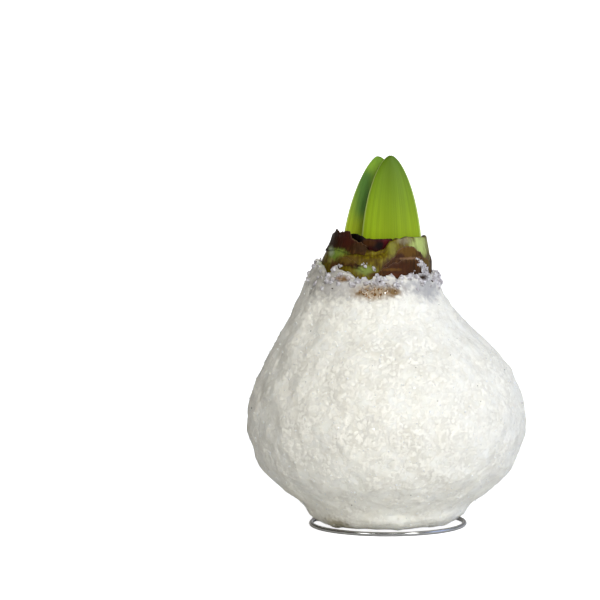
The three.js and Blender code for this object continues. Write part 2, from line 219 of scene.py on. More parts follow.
# ---------------- wire stand
# One length of drawn steel wire with a bright plating, bent to a ring that lies on the table,
# cranked in to the middle and turned up there as a spike, on which the bulb is pushed.
WIRE_RADIUS = 0.8
WIRE_SIDES = 18
RING_STEPS = 200
RING_START = 52  # degrees
RING_TURN = 344
CRANK_BEND = 6
SPIKE_BEND = 3
END_ROUNDING = 0.25
WIRE_COLOUR = "#b2b2b1"


def bezier(start, corner, end, count):
    """Points on a bend from start to end, the first one left out."""
    t = np.linspace(0, 1, count + 1)[1:, None]
    return (1 - t) ** 2 * start + 2 * t * (1 - t) * corner + t**2 * end


def towards(start, end, distance):
    """The point at a distance from start on the way to end."""
    return start + (end - start) / np.linalg.norm(end - start) * distance


def ring_faces(rows, columns, closed=False):
    """Quads of a grid whose columns go all the way round. Its ends are closed with a cap each,
    or its last row is joined to its first."""
    faces = []
    for j in range(rows if closed else rows - 1):
        low, high = j * columns, (j + 1) % rows * columns
        for i in range(columns):
            k = (i + 1) % columns
            faces.append((low + i, low + k, high + k, high + i))
    if not closed:
        faces.append(tuple(range(columns))[::-1])
        faces.append(tuple((rows - 1) * columns + i for i in range(columns)))
    return faces


low, high = (np.array(corner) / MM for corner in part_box("wire_stand"))
ring_x = (low[0] + high[0]) / 2
ring_radius = (high[0] - low[0]) / 2 - WIRE_RADIUS
turn = np.radians(RING_START - np.linspace(0, RING_TURN, RING_STEPS))
ring_z = np.full(RING_STEPS, WIRE_RADIUS)
ring = np.stack([ring_x + ring_radius * np.cos(turn), ring_radius * np.sin(turn), ring_z], axis=1)
heading = np.array([np.sin(turn[-1]), -np.cos(turn[-1]), 0])
corner = ring[-1] + heading * CRANK_BEND
middle = np.array([0, 0, WIRE_RADIUS])
spike_top = np.array([0, 0, high[2]])
crank_out = towards(corner, middle, CRANK_BEND)
crank_in = towards(middle, corner, SPIKE_BEND)
spike_foot = towards(middle, spike_top, SPIKE_BEND)
path = np.concatenate(
    [
        ring,
        bezier(ring[-1], corner, crank_out, 12),
        np.linspace(crank_out, crank_in, 5)[1:],
        bezier(crank_in, middle, spike_foot, 8),
        np.linspace(spike_foot, spike_top, 8)[1:],
    ]
)
heading = np.gradient(path, axis=0)
heading /= np.linalg.norm(heading, axis=1)[:, None]
path = np.concatenate([[path[0] - heading[0] * END_ROUNDING], path, path[-1:] + heading[-1] * 0.01])
heading = np.concatenate([heading[:1], heading, heading[-1:]])
thick = np.full(len(path), WIRE_RADIUS)
thick[0] -= END_ROUNDING
thick[-1] -= END_ROUNDING
up = np.array([0, 0, 1.0])
section = np.radians(np.arange(WIRE_SIDES) * 360 / WIRE_SIDES)
points = []
for point, ahead, radius in zip(path, heading, thick):
    up = up - ahead * (up @ ahead)
    up /= np.linalg.norm(up)
    across = np.cross(ahead, up)
    points.append(point + radius * (np.outer(np.cos(section), up) + np.outer(np.sin(section), across)))
points = np.array(points)

# Bright nickel plate over drawn wire: it mirrors the studio, a little blurred by the die marks.
plate, tree, shader, place = start_material("bright nickel plated wire")
wear = add_node(tree, "TexNoise", {"Vector": place, "Scale": 1 / (2.5 * MM), "Detail": 3})
rough = add_node(tree, "MapRange", {0: wear, 3: 0.08, 4: 0.26})
marks = add_node(tree, "TexNoise", {"Vector": place, "Scale": 1 / (0.35 * MM), "Detail": 2})
bump = add_node(tree, "Bump", {"Height": marks, "Strength": 0.3, "Distance": 0.01 * MM})
finish = {"Base Color": WIRE_COLOUR, "Metallic": 1, "Roughness": rough, "Normal": bump}
set_inputs(tree, shader, finish)

wire = add_mesh("wire_ring_and_spike", points, ring_faces(len(path), WIRE_SIDES), plate)
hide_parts("wire_stand")
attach(wire, "root")


# ---------------- wax coat
# White wax, dipped over the bulb in a few layers and rolled in grains of wax snow while it is
# soft. It sags to the left, is open at the neck with a ragged lip, and ends in a foot on the wire.
COAT_SIDE = [
    (25.6, 2.55), (28.4, 5), (31.4, 9), (38.4, 14.6), (44.9, 20.8), (48.7, 29.2), (50, 38.3),
    (48.9, 47.4), (45.2, 56), (39.4, 65), (32.4, 73.4), (27.4, 81.4), (24.6, 87.6), (22.8, 91.4),
]  # radius and height
BULB_SIDE = [
    (20, 6.6), (27, 9), (36, 16), (42.6, 25.5), (45, 37.5), (42.8, 49.5), (37.6, 59),
    (31.4, 68), (26.2, 76), (22.9, 84), (21, 89.5), (20, 93.5), (19.1, 97.5), (17.7, 101.4),
    (16.6, 105.3),
]
LIP_RISE = [
    (-180, 4.8), (-160, 4.2), (-148, 2.6), (-142, 0.8), (-135, 1), (-131, 3.8), (-126, 2.6),
    (-117, 1.9), (-104, -0.4), (-95, -0.6), (-88, 0.7), (-79, 0.5), (-66, 0), (-52, 0.5), (-26, 0),
    (0, -0.2), (60, 2.4), (118, 1), (180, 4.8),
]  # degrees and rise
LIP_Z = 91.4
LIP_FADE = 10
LIP_TAPER = 0.25
LIP_THINNING = 0.25
CALM_LIP = 0.35  # share of the lumps that is left at the lip, and at the foot
CALM_FOOT = 0.25
LIP_CALM = 4  # how far below the lip and above the foot they are calmer
FOOT_CALM = 6
LIP_GRAINS = 8  # how far below the lip the grains begin to stand out less
FOOT_RADIUS = 25.6
FOOT_Z = 2.55
FOOT_RUNS = [(-137, 5, 1.1), (-80, 3, 0.4), (-20, 5, -0.8)]  # degrees, width and depth
SEAT_Z = 1.95
LEANS = [(-5, 55, 83), (2.7, 86, 107)]  # shift of the axis along X, and the heights it goes over
SKIN_GAP = 0.4  # between the bulb and the inside of the coat
COAT_COLUMNS = 440
COAT_ROWS = 190
LUMPS = [(9, 0.75), (4.6, 0.36), (2.1, 0.16)]  # size and height, here and in all such lists
LIP_TEARS = [(2.6, 0.8)]
FOOT_WAVES = [(5.5, 0.55)]
FOOT_WAVES_LOWEST = -0.6
GRAINS_STAND = 0.1  # how far the grains stand out of the wax that holds them
BARE_SIZE = 9  # patches low down that hardly took any grains
BARE_TOP = (18, 34)  # heights where they begin to end, and where there are none
BARE_SHARE = 0.85  # of the grains that are missing there
COARSE_GRAINS = [(-180, 0.15), (-150, 0.2), (-134, 1), (140, 1), (180, 0.15)]  # degrees and share
CLUMP_SIZE = 2.2
WAX_WHITE = "#f8f6ea"
WAX_GREY = "#e9e6d9"


def smoothstep(value, start, end):
    share = np.clip((value - start) / (end - start), 0, 1)
    return share * share * (3 - 2 * share)


def smooth_noise(points, size, seed):
    """Perlin noise at each point, about -1 to 1, with features of the given size."""
    random = np.random.default_rng(seed)
    order = random.permutation(256)
    slopes = random.normal(size=(256, 3))
    slopes /= np.linalg.norm(slopes, axis=1, keepdims=True)
    place = points / size
    cell = np.floor(place).astype(int)
    inside = place - cell
    blend = inside**3 * (inside * (inside * 6 - 15) + 10)
    total = np.zeros(points.shape[:-1])
    for corner in np.ndindex(2, 2, 2):
        corner = np.array(corner)
        at = (cell + corner) & 255
        key = order[(order[(order[at[..., 0]] + at[..., 1]) & 255] + at[..., 2]) & 255]
        weight = np.prod(np.where(corner == 1, blend, 1 - blend), axis=-1)
        total += weight * np.einsum("...i,...i->...", slopes[key], inside - corner)
    return total * 1.5


def waves(points, layers, seed):
    """Sum of noises given as sizes and heights, each with the next seed."""
    return sum(height * smooth_noise(points, size, seed + k) for k, (size, height) in enumerate(layers))


def smooth_outline(outline, count):
    """Evenly spaced points on a smooth curve through the outline's points."""
    knots = np.array(outline, float)
    last = len(knots) - 1
    fine = []
    for t in np.linspace(0, last, 40 * last + 1):
        i = min(int(t), last - 1)
        before, start, end, after = (knots[min(max(i + k, 0), last)] for k in (-1, 0, 1, 2))
        t -= i
        leave, arrive = (end - before) / 2, (after - start) / 2
        fine.append(
            (2 * start - 2 * end + leave + arrive) * t**3
            + (-3 * start + 3 * end - 2 * leave - arrive) * t**2
            + leave * t
            + start
        )
    fine = np.array(fine)
    along = np.concatenate([[0], np.cumsum(np.linalg.norm(np.diff(fine, axis=0), axis=1))])
    at = np.linspace(0, along[-1], count)
    return np.stack([np.interp(at, along, part) for part in fine.T], axis=1)


def edge_height(edge, degrees):
    """Height at each angle of an edge given as (degrees, height) points."""
    angles, heights = np.array(edge, float).T
    after = np.clip(np.searchsorted(angles, degrees), 1, len(angles) - 1)
    share = smoothstep(degrees, angles[after - 1], angles[after])
    return heights[after - 1] + (heights[after] - heights[after - 1]) * share


def lean(z):
    """How far the bulb's axis is from the Z axis along X at a height."""
    return sum(shift * smoothstep(z, start, end) for shift, start, end in LEANS)


side_curve = smooth_outline(BULB_SIDE, 300)


def side_radius(z):
    return np.interp(z, side_curve[:, 1], side_curve[:, 0])


def round_axis(angle, radius, z):
    """Points at an angle round the bulb's leaning axis. 0 is the right, and -90 degrees the front."""
    angle, radius, z = np.broadcast_arrays(angle, radius, z)
    return np.stack([lean(z) + radius * np.cos(angle), radius * np.sin(angle), z], axis=-1)


def all_round(columns):
    """Angles of a ring of columns in radians, and the same in degrees from -180 to 180."""
    angle = np.radians(np.arange(columns) * 360 / columns)
    return angle, (np.degrees(angle) + 180) % 360 - 180


def set_attribute(made, points, name, values):
    """Gives a mesh an attribute, from values that fit the grid of its points."""
    values = np.broadcast_to(values, points.shape[:-1]).astype(np.float32)
    attribute = made.data.attributes.new(name, "FLOAT", "POINT")
    attribute.data.foreach_set("value", values.ravel())


angle, degrees = all_round(COAT_COLUMNS)
outside = smooth_outline(COAT_SIDE, COAT_ROWS)
heading = np.gradient(outside, axis=0)
heading /= np.linalg.norm(heading, axis=1)[:, None]
out_r, out_z = outside[:, :1], outside[:, 1:]
flat = round_axis(angle[None], out_r, out_z)
raised = waves(flat, LUMPS, 0)
raised *= CALM_FOOT + (1 - CALM_FOOT) * smoothstep(out_z, FOOT_Z, FOOT_Z + FOOT_CALM)
raised *= 1 - (1 - CALM_LIP) * smoothstep(out_z, LIP_Z - LIP_CALM, LIP_Z)
raised -= GRAINS_STAND * (1 - 0.7 * smoothstep(out_z, LIP_Z - LIP_GRAINS, LIP_Z))
outer = round_axis(angle[None], out_r + raised * heading[:, 1:], out_z - raised * heading[:, :1])

inside = smooth_outline([p for p in BULB_SIDE if p[1] < LIP_Z], 26)
inside = np.append(inside[inside[:, 1] < LIP_Z - 1], [[side_radius(LIP_Z), LIP_Z]], axis=0)[::-1]
inner = round_axis(angle[None], inside[:, :1] + SKIN_GAP, inside[:, 1:])
under = np.array([(3, 6.3)] + [(radius, SEAT_Z) for radius in (3, 8, 14, 20, 24)])
foot = round_axis(angle[None], under[:, :1], under[:, 1:])
coat = np.concatenate([outer, inner, foot])

# The lip climbs the neck unevenly, and the foot ends in a few small runs of wax.
rise = edge_height(LIP_RISE, degrees) + waves(outer[-1], LIP_TEARS, 11)
rise = rise * smoothstep(coat[..., 2], LIP_Z - LIP_FADE, LIP_Z)
axis_x = lean(coat[..., 2])
across = np.hypot(coat[..., 0] - axis_x, coat[..., 1])
on_outside = np.arange(len(coat))[:, None] < COAT_ROWS
shrink = 1 - rise * (LIP_TAPER + LIP_THINNING * on_outside) / across
coat[..., 0] = axis_x + (coat[..., 0] - axis_x) * shrink
coat[..., 1] *= shrink
coat[..., 2] += rise
near_edge = smoothstep(across, FOOT_RADIUS * 0.8, FOOT_RADIUS) * (1 - smoothstep(coat[..., 2], 3, 7))
runs = np.maximum(waves(coat, FOOT_WAVES, 12), FOOT_WAVES_LOWEST)
for run_degrees, run_width, run_depth in FOOT_RUNS:
    runs = runs - run_depth * np.exp(-(((degrees - run_degrees) / run_width) ** 2))
coat[..., 2] += runs * near_edge


def tint(tree, place, colour, patches, shake, warp=0.9, soft=0.6):
    """Mixes patches into a colour: each is a hex colour, its centre and its radii, all with edges
    that a noise pushes about."""
    for code, centre, radii in patches:
        centre = [c * MM for c in centre]
        offset = add_node(tree, "VectorMath", {0: place, 1: centre}, operation="SUBTRACT")
        per_metre = [1 / (radius * MM) for radius in radii]
        scaled = add_node(tree, "VectorMath", {0: offset, 1: per_metre}, operation="MULTIPLY")
        far = add_node(tree, "VectorMath", {0: scaled}, operation="LENGTH")
        torn = add_node(tree, "Math", {0: shake, 1: warp * 2, 2: far}, operation="MULTIPLY_ADD")
        fade = {0: torn, 1: 1 + warp - soft, 2: 1 + warp + soft, 3: 1, 4: 0}
        share = add_node(tree, "MapRange", fade, **SMOOTH)
        colour = add_node(tree, "Mix", {0: share, 6: colour, 7: code}, data_type="RGBA")
    return colour


def around(degrees, z, radius=19.5):
    """Centre of a patch on the neck."""
    return round_axis(math.radians(degrees), radius, z).tolist()


# Where the wax is thin and grey round the neck, with painted shade there below the neck's skins, and
# where dirt, sap and bits of the dry skin have got into its grains; also a greyer patch low on the foot
# and a dark patch between the crystals right of the neck.
THIN_WAX_AND_SHADE = [
    ("#b6b2a8", (-20, -16, 90.5), (11, 16, 6.5)),
    ("#c4c1bb", (-6, -22, 88.5), (14, 8, 4.5)),
    ("#b4b3b1", (14.5, -15, 88), (9, 9, 4.5)),
]
STAINS = [
    ("#b3ab94", (-17, -19.5, 3.5), (5, 5, 2.5)),
    ("#a8957a", (-3.6, -23, 86.6), (7.6, 6, 2.3)),
    ("#7c6240", (-9, -22, 86.4), (1.8, 4, 0.8)),
    ("#80643c", (2.4, -22, 86.8), (1.4, 4, 1.6)),
    ("#8a6c48", (-15.2, -19, 91.2), (3.2, 5, 0.9)),
    ("#8d9a5e", (-22.6, -8, 96), (1.6, 5, 1.3)),
    ("#3a2a20", (13, -14, 91.2), (1.6, 4, 0.8)),
]
SAP_PLACE = (-3.6, -23, 86.8)  # where sap has dried among coarse crystals
SAP_SIZE = (7.4, 6, 1.9)


# Tints a wax colour with the stains and, by default, with the thin grey wax and painted shade round the
# neck.
def stained(tree, place, wax_colour, stains=THIN_WAX_AND_SHADE + STAINS):
    shake = add_node(tree, "TexNoise", {"Vector": place, "Scale": 1 / (2 * MM), "Detail": 4})
    return tint(tree, place, wax_colour, stains, shake)


# Crumbly white wax: milky, with no deep gloss. The mottling is where it is thin and greyer.
wax, tree, shader, place = start_material("white wax snow")
clouds = add_node(tree, "TexNoise", {"Vector": place, "Scale": 1 / (9 * MM), "Detail": 5})
share = add_node(tree, "MapRange", {0: clouds, 1: 0.36, 2: 0.6}, **SMOOTH)
white = add_node(tree, "Mix", {0: share, 6: WAX_GREY, 7: WAX_WHITE}, data_type="RGBA")
cells = {"Vector": place, "Scale": 1 / (1.5 * MM), "Smoothness": 0.4}
grain = add_node(tree, "TexVoronoi", cells, feature="SMOOTH_F1")
bump = add_node(tree, "Bump", {"Height": grain, "Strength": 0.1, "Distance": 0.2 * MM}, invert=True)
finish = {
    # with the thin grey wax, painted shade round the neck, and the stains
    "Base Color": stained(tree, place, white),
    "Roughness": 0.6,
    "IOR": 1.44,
    "Specular IOR Level": 0.3,
    "Subsurface Weight": 0.8,
    "Subsurface Radius": (1, 0.95, 0.85),
    "Subsurface Scale": 1.5 * MM,
    "Normal": bump,
}
set_inputs(tree, shader, finish)

crust = add_mesh("wax_crust", coat, ring_faces(len(coat), COAT_COLUMNS, closed=True), wax)
below_lip = LIP_Z + rise - coat[..., 2]
bare = smoothstep(smooth_noise(coat * [1, 1, 1.6], BARE_SIZE, 13), 0.05, 0.4)
bare = bare * (1 - smoothstep(coat[..., 2], *BARE_TOP))
set_attribute(crust, coat, "grainy", on_outside * (1 - BARE_SHARE * bare))
set_attribute(crust, coat, "outside", on_outside)
clumps = 0.3 + 0.7 * smoothstep(smooth_noise(coat, CLUMP_SIZE, 14), -0.15, 0.3)
coarse = on_outside * clumps * edge_height(COARSE_GRAINS, degrees)
set_attribute(crust, coat, "lip", coarse * (1 - smoothstep(below_lip, 1.2, 6)))
set_attribute(crust, coat, "lip_edge", coarse * (1 - smoothstep(below_lip, 0.8, 2.2)))
from_sap = np.linalg.norm((coat - SAP_PLACE) / SAP_SIZE, axis=-1)
set_attribute(crust, coat, "sap", on_outside * (1 - smoothstep(from_sap, 0.6, 1.2)))
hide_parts("wax_coat")
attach(crust, "root")


# ---------------- grains of the coat
# Flat crumbs of wax snow, 1 to 2.4 mm across, pressed into the coat all over it in
# three lots.
GRAINS_PER_MM2 = 0.26
GRAIN_RADIUS = (0.45, 1.2)
GRAIN_FLATNESS = 0.16
GRAIN_DEPTH = 0.5  # how far the middle of a grain is in the wax, in its own half height
GRAIN_TILT = 0.08
GRAIN_SHAKE = 0.05
SHAKE_SIZE = 0.8  # of the noise that pushes the corners of all crumbs and crystals
BALL = ("GeometryNodeMeshIcoSphere", {"Radius": 1, "Subdivisions": 1})
SCATTER_INPUTS = {
    "Mesh": "NodeSocketGeometry",
    "Where": "NodeSocketString",
    "Density": "NodeSocketFloat",
    "Smallest radius": "NodeSocketFloat",
    "Largest radius": "NodeSocketFloat",
    "Seed": "NodeSocketInt",
}


def scatter_tree(name, shape, material, flatness, tilt, shake, lift=0):
    """A Geometry Nodes tree that strews copies of a shape on a mesh, as thickly as one of its
    attributes says. Each has its own width and depth, flatness times the smaller of them as its
    height, and is lifted by a share of that. It is turned at random and tilted by up to an angle,
    and its corners are pushed by up to a distance, so that no two look alike."""
    tree = bpy.data.node_groups.new(name, "GeometryNodeTree")
    for label, kind in SCATTER_INPUTS.items():
        tree.interface.new_socket(label, in_out="INPUT", socket_type=kind)
    tree.interface.new_socket("Mesh", in_out="OUTPUT", socket_type="NodeSocketGeometry")
    given = add_node(tree, "NodeGroupInput").outputs
    named = {"Name": given["Where"]}
    share = add_node(tree, "GeometryNodeInputNamedAttribute", named, data_type="FLOAT")
    density = add_node(tree, "Math", {0: share, 1: given["Density"]}, operation="MULTIPLY")
    strewn = {"Mesh": given["Mesh"], "Density": density, "Seed": given["Seed"]}
    spread = add_node(tree, "GeometryNodeDistributePointsOnFaces", strewn)
    angles = {0: (-tilt, -tilt, 0), 1: (tilt, tilt, math.tau), "Seed": given["Seed"]}
    spin = add_node(tree, "FunctionNodeRandomValue", angles, data_type="FLOAT_VECTOR")
    turn = {"Rotation": spread.outputs["Rotation"], "Rotate By": spin}
    turned = add_node(tree, "FunctionNodeRotateRotation", turn, rotation_space="LOCAL")
    radii = {2: given["Smallest radius"], 3: given["Largest radius"]}
    wide, deep = (add_node(tree, "FunctionNodeRandomValue", radii | {"Seed": k}) for k in (21, 22))
    least = add_node(tree, "Math", {0: wide, 1: deep}, operation="MINIMUM")
    tall = add_node(tree, "Math", {0: least, 1: flatness}, operation="MULTIPLY")
    size = add_node(tree, "CombineXYZ", {0: wide, 1: deep, 2: tall})
    one = add_node(tree, *shape)
    lifted = add_node(tree, "GeometryNodeTransform", {"Geometry": one, "Translation": (0, 0, lift)})
    placed = {"Points": spread, "Instance": lifted, "Rotation": turned, "Scale": size}
    copies = add_node(tree, "GeometryNodeInstanceOnPoints", placed)
    real = add_node(tree, "GeometryNodeRealizeInstances", {0: copies})
    spot = add_node(tree, "GeometryNodeInputPosition")
    noise = add_node(tree, "TexNoise", {"Vector": spot, "Scale": 1 / (SHAKE_SIZE * MM), "Detail": 0})
    centred = {0: noise.outputs["Color"], 1: (0.5, 0.5, 0.5)}
    centred = add_node(tree, "VectorMath", centred, operation="SUBTRACT")
    push = add_node(tree, "VectorMath", {0: centred, "Scale": shake * 2 * MM}, operation="SCALE")
    moved = add_node(tree, "GeometryNodeSetPosition", {"Geometry": real, "Offset": push})
    painted = add_node(tree, "GeometryNodeSetMaterial", {"Geometry": moved, "Material": material})
    add_node(tree, "NodeGroupOutput", {0: painted})
    return tree


def scatter(name, on, tree, where, per_mm2, radii, seed, smooth=False):
    """Runs a scatter tree on an object's mesh, and keeps the result as a piece of plain mesh."""
    piece = add_object(name, on.data)
    modifier = piece.modifiers.new("scatter", "NODES")
    modifier.node_group = tree
    settings = {
        "Where": where,
        "Density": per_mm2 / MM**2,
        "Smallest radius": radii[0] * MM,
        "Largest radius": radii[1] * MM,
        "Seed": seed,
    }
    for item in tree.interface.items_tree:
        if item.name in settings:
            modifier[item.identifier] = settings[item.name]
    shown = piece.evaluated_get(bpy.context.evaluated_depsgraph_get())
    mesh = bpy.data.meshes.new_from_object(shown)
    piece.modifiers.remove(modifier)
    piece.data = mesh
    mesh.polygons.foreach_set("use_smooth", [smooth] * len(mesh.polygons))
    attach(piece, "root")


# The same wax in small crumbs, some of them clearer than others.
crumb, tree, shader, place = start_material("wax snow crumbs")
clouds = add_node(tree, "TexNoise", {"Vector": place, "Scale": 1 / (2.5 * MM), "Detail": 3})
share = add_node(tree, "MapRange", {0: clouds, 1: 0.3, 2: 0.62})
white = add_node(tree, "Mix", {0: share, 6: WAX_GREY, 7: WAX_WHITE}, data_type="RGBA")
finish = {"Roughness": 0.6, "IOR": 1.44, "Specular IOR Level": 0.15}
# The crumbs take the same thin grey wax, painted shade round the neck, and stains.
set_inputs(tree, shader, finish | {"Base Color": stained(tree, place, white)})

grain_tree = scatter_tree("grains", BALL, crumb, GRAIN_FLATNESS, GRAIN_TILT, GRAIN_SHAKE, -GRAIN_DEPTH)
for seed, letter in enumerate("abc", 1):
    name = "coat_grains_" + letter
    scatter(name, crust, grain_tree, "grainy", GRAINS_PER_MM2, GRAIN_RADIUS, seed)


# ---------------- shards at the lip
# Round the neck the wax snow is coarse and clear: blocky crystals in clumps and a few slivers at
# the very edge, with bits of the dry skin between them.
CRYSTALS_PER_MM2 = 0.5
CRYSTAL_SIZE = (0.6, 1.5)
CRYSTAL_SHAPE = {"flatness": 0.9, "tilt": 1.5, "shake": 0.5}
SAP_CRYSTALS_PER_MM2 = 1.6
SAP_CRYSTAL_SIZE = (0.35, 0.8)
SHARDS_PER_MM2 = 0.3
SHARD_SIZE = (0.35, 0.7)
PRISM = ("GeometryNodeMeshCone", {"Vertices": 5, "Radius Top": 0.35, "Radius Bottom": 0.8, "Depth": 2})
SKIN_BITS_PER_MM2 = 0.05
SKIN_BIT_SIZE = (0.3, 0.7)

# Clear wax slivers: glassy, and greyer than the snow because the dark neck shows through them.
sliver, tree, shader, place = start_material("clear wax slivers")
clouds = add_node(tree, "TexNoise", {"Vector": place, "Scale": 1 / (1.3 * MM), "Detail": 2})
stops = [(0.34, "#a8a3a4"), (0.5, "#c9c5c7"), (0.66, "#e9e7e9")]
grey = add_node(tree, "ValToRGB", {0: clouds}, stops)
finish = {
    "Base Color": stained(tree, place, grey, STAINS),
    "Roughness": 0.35,
    "IOR": 1.44,
    "Transmission Weight": 0.15,
    "Subsurface Weight": 0.5,
    "Subsurface Radius": (1, 0.95, 0.95),
    "Subsurface Scale": 0.6 * MM,
}
set_inputs(tree, shader, finish)

# Bits of the dry skin that broke off: dark brown, dull and speckled.
bit, tree, shader, place = start_material("bits of dry skin")
speckle = add_node(tree, "TexNoise", {"Vector": place, "Scale": 1 / (0.6 * MM)})
dark = add_node(tree, "Mix", {0: speckle, 6: "#1a110e", 7: "#54402e"}, data_type="RGBA")
set_inputs(tree, shader, {"Base Color": dark, "Roughness": 0.6, "Specular IOR Level": 0.2})

crystal_tree = scatter_tree("crystals", BALL, sliver, **CRYSTAL_SHAPE)
scatter("lip_crystals", crust, crystal_tree, "lip", CRYSTALS_PER_MM2, CRYSTAL_SIZE, 4)

# Sap that dried among the crystals: amber and brown, and clear enough to glint.
sap, tree, shader, place = start_material("crystals stained with dried sap")
clouds = add_node(tree, "TexNoise", {"Vector": place, "Scale": 1 / (0.9 * MM), "Detail": 2})
stops = [(0.36, "#6e4c20"), (0.48, "#a68660"), (0.6, "#e4d8c4")]
amber = add_node(tree, "ValToRGB", {0: clouds}, stops)
finish = {"Base Color": amber, "Roughness": 0.2, "IOR": 1.5, "Transmission Weight": 0.1}
set_inputs(tree, shader, finish)

sap_tree = scatter_tree("sap crystals", BALL, sap, **CRYSTAL_SHAPE)
scatter("sap_crystals", crust, sap_tree, "sap", SAP_CRYSTALS_PER_MM2, SAP_CRYSTAL_SIZE, 7)

sliver_tree = scatter_tree("slivers", PRISM, sliver, flatness=1, tilt=1.3, shake=0.2)
scatter("lip_shards", crust, sliver_tree, "lip_edge", SHARDS_PER_MM2, SHARD_SIZE, 5)

bit_tree = scatter_tree("bits", BALL, bit, flatness=0.5, tilt=1.2, shake=0.3)
scatter("lip_skin_bits", crust, bit_tree, "lip", SKIN_BITS_PER_MM2, SKIN_BIT_SIZE, 6)


# ---------------- glitter and dirt on the coat
# Thin mica flakes, strewn over the snow, lie every way and flash where one faces a lamp. A few
# specks of dirt stick to the coat as well.
FLAKES_PER_MM2 = 0.03
FLAKE_SIZE = (0.2, 0.36)
DISC = ("GeometryNodeMeshCone", {"Vertices": 5, "Radius Top": 0.9, "Radius Bottom": 1, "Depth": 1})
SPECKS_PER_MM2 = 0.0011
SPECK_SIZE = (0.12, 0.28)

# Mica: a clear mineral with flat, glossy faces that mirror far more than wax does.
mica, tree, shader, place = start_material("mica flakes")
haze = add_node(tree, "TexNoise", {"Vector": place, "Scale": 1 / (3 * MM)})
tone = add_node(tree, "Mix", {0: haze, 6: "#e4e4de", 7: "#ffffff"}, data_type="RGBA")
set_inputs(tree, shader, {"Base Color": tone, "Roughness": 0.12, "IOR": 2.2})

flake_tree = scatter_tree("flakes", DISC, mica, flatness=0.6, tilt=0.6, shake=0, lift=1.4)
scatter("coat_flakes", crust, flake_tree, "outside", FLAKES_PER_MM2, FLAKE_SIZE, 8)

speck_tree = scatter_tree("specks", BALL, bit, flatness=0.7, tilt=0.1, shake=0.05, lift=3)
scatter(
    "coat_dirt_specks", crust, speck_tree, "outside", SPECKS_PER_MM2, SPECK_SIZE, 9, True
)


# ---------------- bulb
# The living bulb is one fleshy body, hidden in the coat up to its neck. The neck was cut across,
# and is torn down at the front: inside its rim are a groove and the rings of the younger scales.
PLATE_Z = 6.6
BORE_RADIUS = 1.2
BORE_TOP_Z = 22.3
NECK_FROM_Z = 84
RIM_Z = 105.3
RIM_RADIUS = 16.6
RIM_WALL = 1.6
RIM_DIP = [
    (-180, 0), (-128, 0), (-116, 1.8), (-103, 4.2), (-92, 4.7), (-84, 4.2), (-76, 1), (-70, 0),
    (0, 0.3), (25, 2.4), (80, 2), (130, 0.5), (180, 0),
]  # degrees and depth
GROOVE_Z = 97.5
STUMP_RADIUS = 11.6
STUMP_Z = 101.5
STUMP_STEP = 1.3
BULB_COLUMNS = 240
FIBRE_STRETCH = 0.1  # fibres run up the neck, and are ten times as long as they are wide
ALONG_FIBRES = [1, 1, FIBRE_STRETCH]
NECK_FIBRES = [(1.6, 0.14)]
NECK_FOLDS = [(5, 0.2)]
RIM_TEARS = [(3.4, 0.55), (1.1, 0.35)]
STUMP_LUMPS = [(2.3, 0.9)]
TORN_STRETCH = 0.45  # patches and tears are drawn out less


def steps(start, end, count):
    """Points from start to end, the last one left out."""
    return np.linspace(start, end, count + 1)[:-1]


def neck_relief(points):
    """Folds and fibres of the neck's surface, which the skins on it follow."""
    return waves(points * ALONG_FIBRES, NECK_FIBRES, 31) + waves(points, NECK_FOLDS, 32)


low_side = smooth_outline([p for p in BULB_SIDE if p[1] < NECK_FROM_Z], 36)
neck_z = np.linspace(NECK_FROM_Z, RIM_Z - 0.5, 60)
wall = RIM_RADIUS - RIM_WALL
stump_r = np.linspace(STUMP_RADIUS - 0.2, 0.3, 46)
stump_z = STUMP_Z - STUMP_STEP / 2 * (1 - np.cos(math.pi * (STUMP_RADIUS - stump_r) / STUMP_STEP))
profile = np.concatenate(
    [
        [(0.3, BORE_TOP_Z), (BORE_RADIUS, BORE_TOP_Z)],
        steps((BORE_RADIUS, PLATE_Z), low_side[0], 6),
        low_side,
        np.stack([side_radius(neck_z), neck_z], axis=1),
        [(RIM_RADIUS - 0.1, RIM_Z - 0.15), (RIM_RADIUS - 0.5, RIM_Z), (wall + 0.4, RIM_Z)],
        steps((wall, RIM_Z - 0.3), (wall - 0.2, GROOVE_Z), 24),
        steps((wall - 0.2, GROOVE_Z), (STUMP_RADIUS, GROOVE_Z), 8),
        steps((STUMP_RADIUS, GROOVE_Z), (STUMP_RADIUS - 0.2, STUMP_Z), 12),
        np.stack([stump_r, stump_z], axis=1),
    ]
)
angle, degrees = all_round(BULB_COLUMNS)
radius = np.repeat(profile[:, :1], BULB_COLUMNS, axis=1)
height = np.repeat(profile[:, 1:], BULB_COLUMNS, axis=1)
smooth_body = round_axis(angle[None], radius, height)
on_neck = smoothstep(height, NECK_FROM_Z, NECK_FROM_Z + 3)
radius = radius + on_neck * neck_relief(smooth_body)
ring = np.stack([9 * np.cos(angle), 9 * np.sin(angle), 0 * angle], axis=-1)
drop = edge_height(RIM_DIP, degrees) + waves(ring, RIM_TEARS, 33)
on_wall = profile[:, :1] > wall - 0.3
height = height - on_wall * smoothstep(height, GROOVE_Z, RIM_Z) * drop
on_stump = (profile[:, :1] < STUMP_RADIUS - 0.1) & (height > GROOVE_Z + 1)
height = height + on_stump * waves(smooth_body, STUMP_LUMPS, 35)
body = round_axis(angle[None], radius, height)
